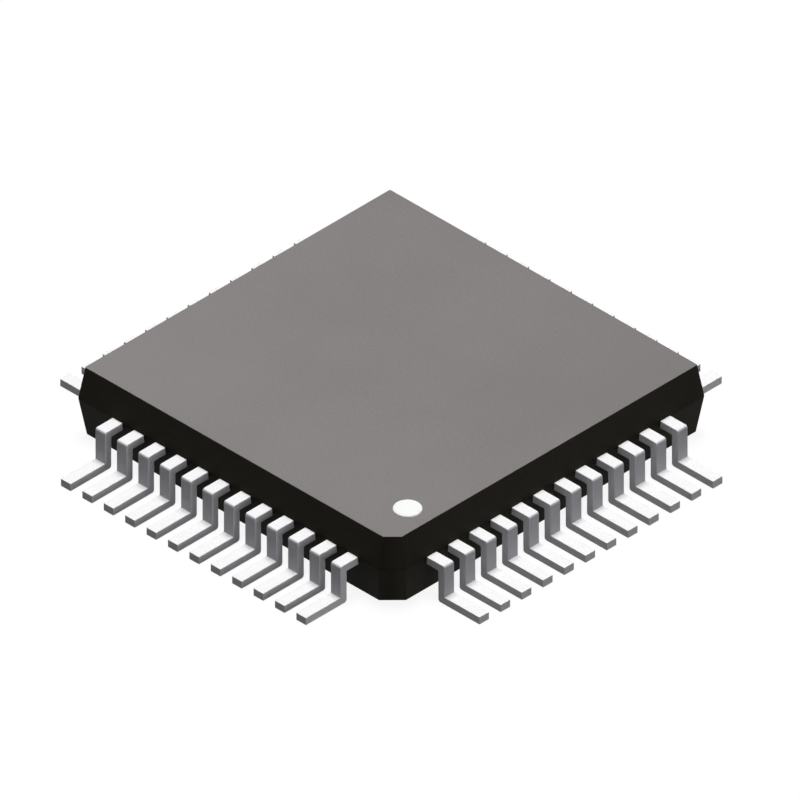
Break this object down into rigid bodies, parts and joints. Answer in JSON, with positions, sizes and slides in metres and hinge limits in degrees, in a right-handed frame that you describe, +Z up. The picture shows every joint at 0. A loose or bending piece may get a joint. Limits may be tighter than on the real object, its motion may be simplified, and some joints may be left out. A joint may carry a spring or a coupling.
{
  "type": "quad flat pack chip",
  "caption": "Low-profile quad flat pack chip: square moulded body with a chamfered corner and white dot, and gull-wing leads on all four sides.",
  "frame": {"origin": "under the middle of the body, on the seating plane that the undersides of the feet share", "axes": "+Z up through the marked top face; +X out of the side with lead_01, whose corner with the -Y side is the chamfered one"},
  "size_m": [0.0098, 0.0098, 0.0014],
  "materials": {
    "mould_compound": "filled epoxy moulding compound, satin black sides and a greyed matt top face",
    "index_paint": "white marking ink",
    "tin_plate": "matt tin plate over copper alloy",
    "bare_copper": "bare copper alloy",
    "silver_epoxy": "silver-filled epoxy",
    "silicon": "polished silicon",
    "gold_wire": "drawn gold wire"
  },
  "bodies": {
    "root": {"mould_body": "mould_compound", "index_dot": "index_paint", "die_paddle": "bare_copper", "die_attach": "silver_epoxy", "die": "silicon", "bond_wires_east": "gold_wire", "bond_wires_north": "gold_wire", "bond_wires_west": "gold_wire", "bond_wires_south": "gold_wire", "lead_01": "tin_plate", "lead_02": "tin_plate", "lead_03": "tin_plate", "lead_04": "tin_plate", "lead_05": "tin_plate", "lead_06": "tin_plate", "lead_07": "tin_plate", "lead_08": "tin_plate", "lead_09": "tin_plate", "lead_10": "tin_plate", "lead_11": "tin_plate", "lead_12": "tin_plate", "lead_13": "tin_plate", "lead_14": "tin_plate", "lead_15": "tin_plate", "lead_16": "tin_plate", "lead_17": "tin_plate", "lead_18": "tin_plate", "lead_19": "tin_plate", "lead_20": "tin_plate", "lead_21": "tin_plate", "lead_22": "tin_plate", "lead_23": "tin_plate", "lead_24": "tin_plate", "lead_25": "tin_plate", "lead_26": "tin_plate", "lead_27": "tin_plate", "lead_28": "tin_plate", "lead_29": "tin_plate", "lead_30": "tin_plate", "lead_31": "tin_plate", "lead_32": "tin_plate", "lead_33": "tin_plate", "lead_34": "tin_plate", "lead_35": "tin_plate", "lead_36": "tin_plate", "lead_37": "tin_plate", "lead_38": "tin_plate", "lead_39": "tin_plate", "lead_40": "tin_plate", "lead_41": "tin_plate", "lead_42": "tin_plate", "lead_43": "tin_plate", "lead_44": "tin_plate", "lead_45": "tin_plate", "lead_46": "tin_plate", "lead_47": "tin_plate", "lead_48": "tin_plate"}
  },
  "joints": []
}
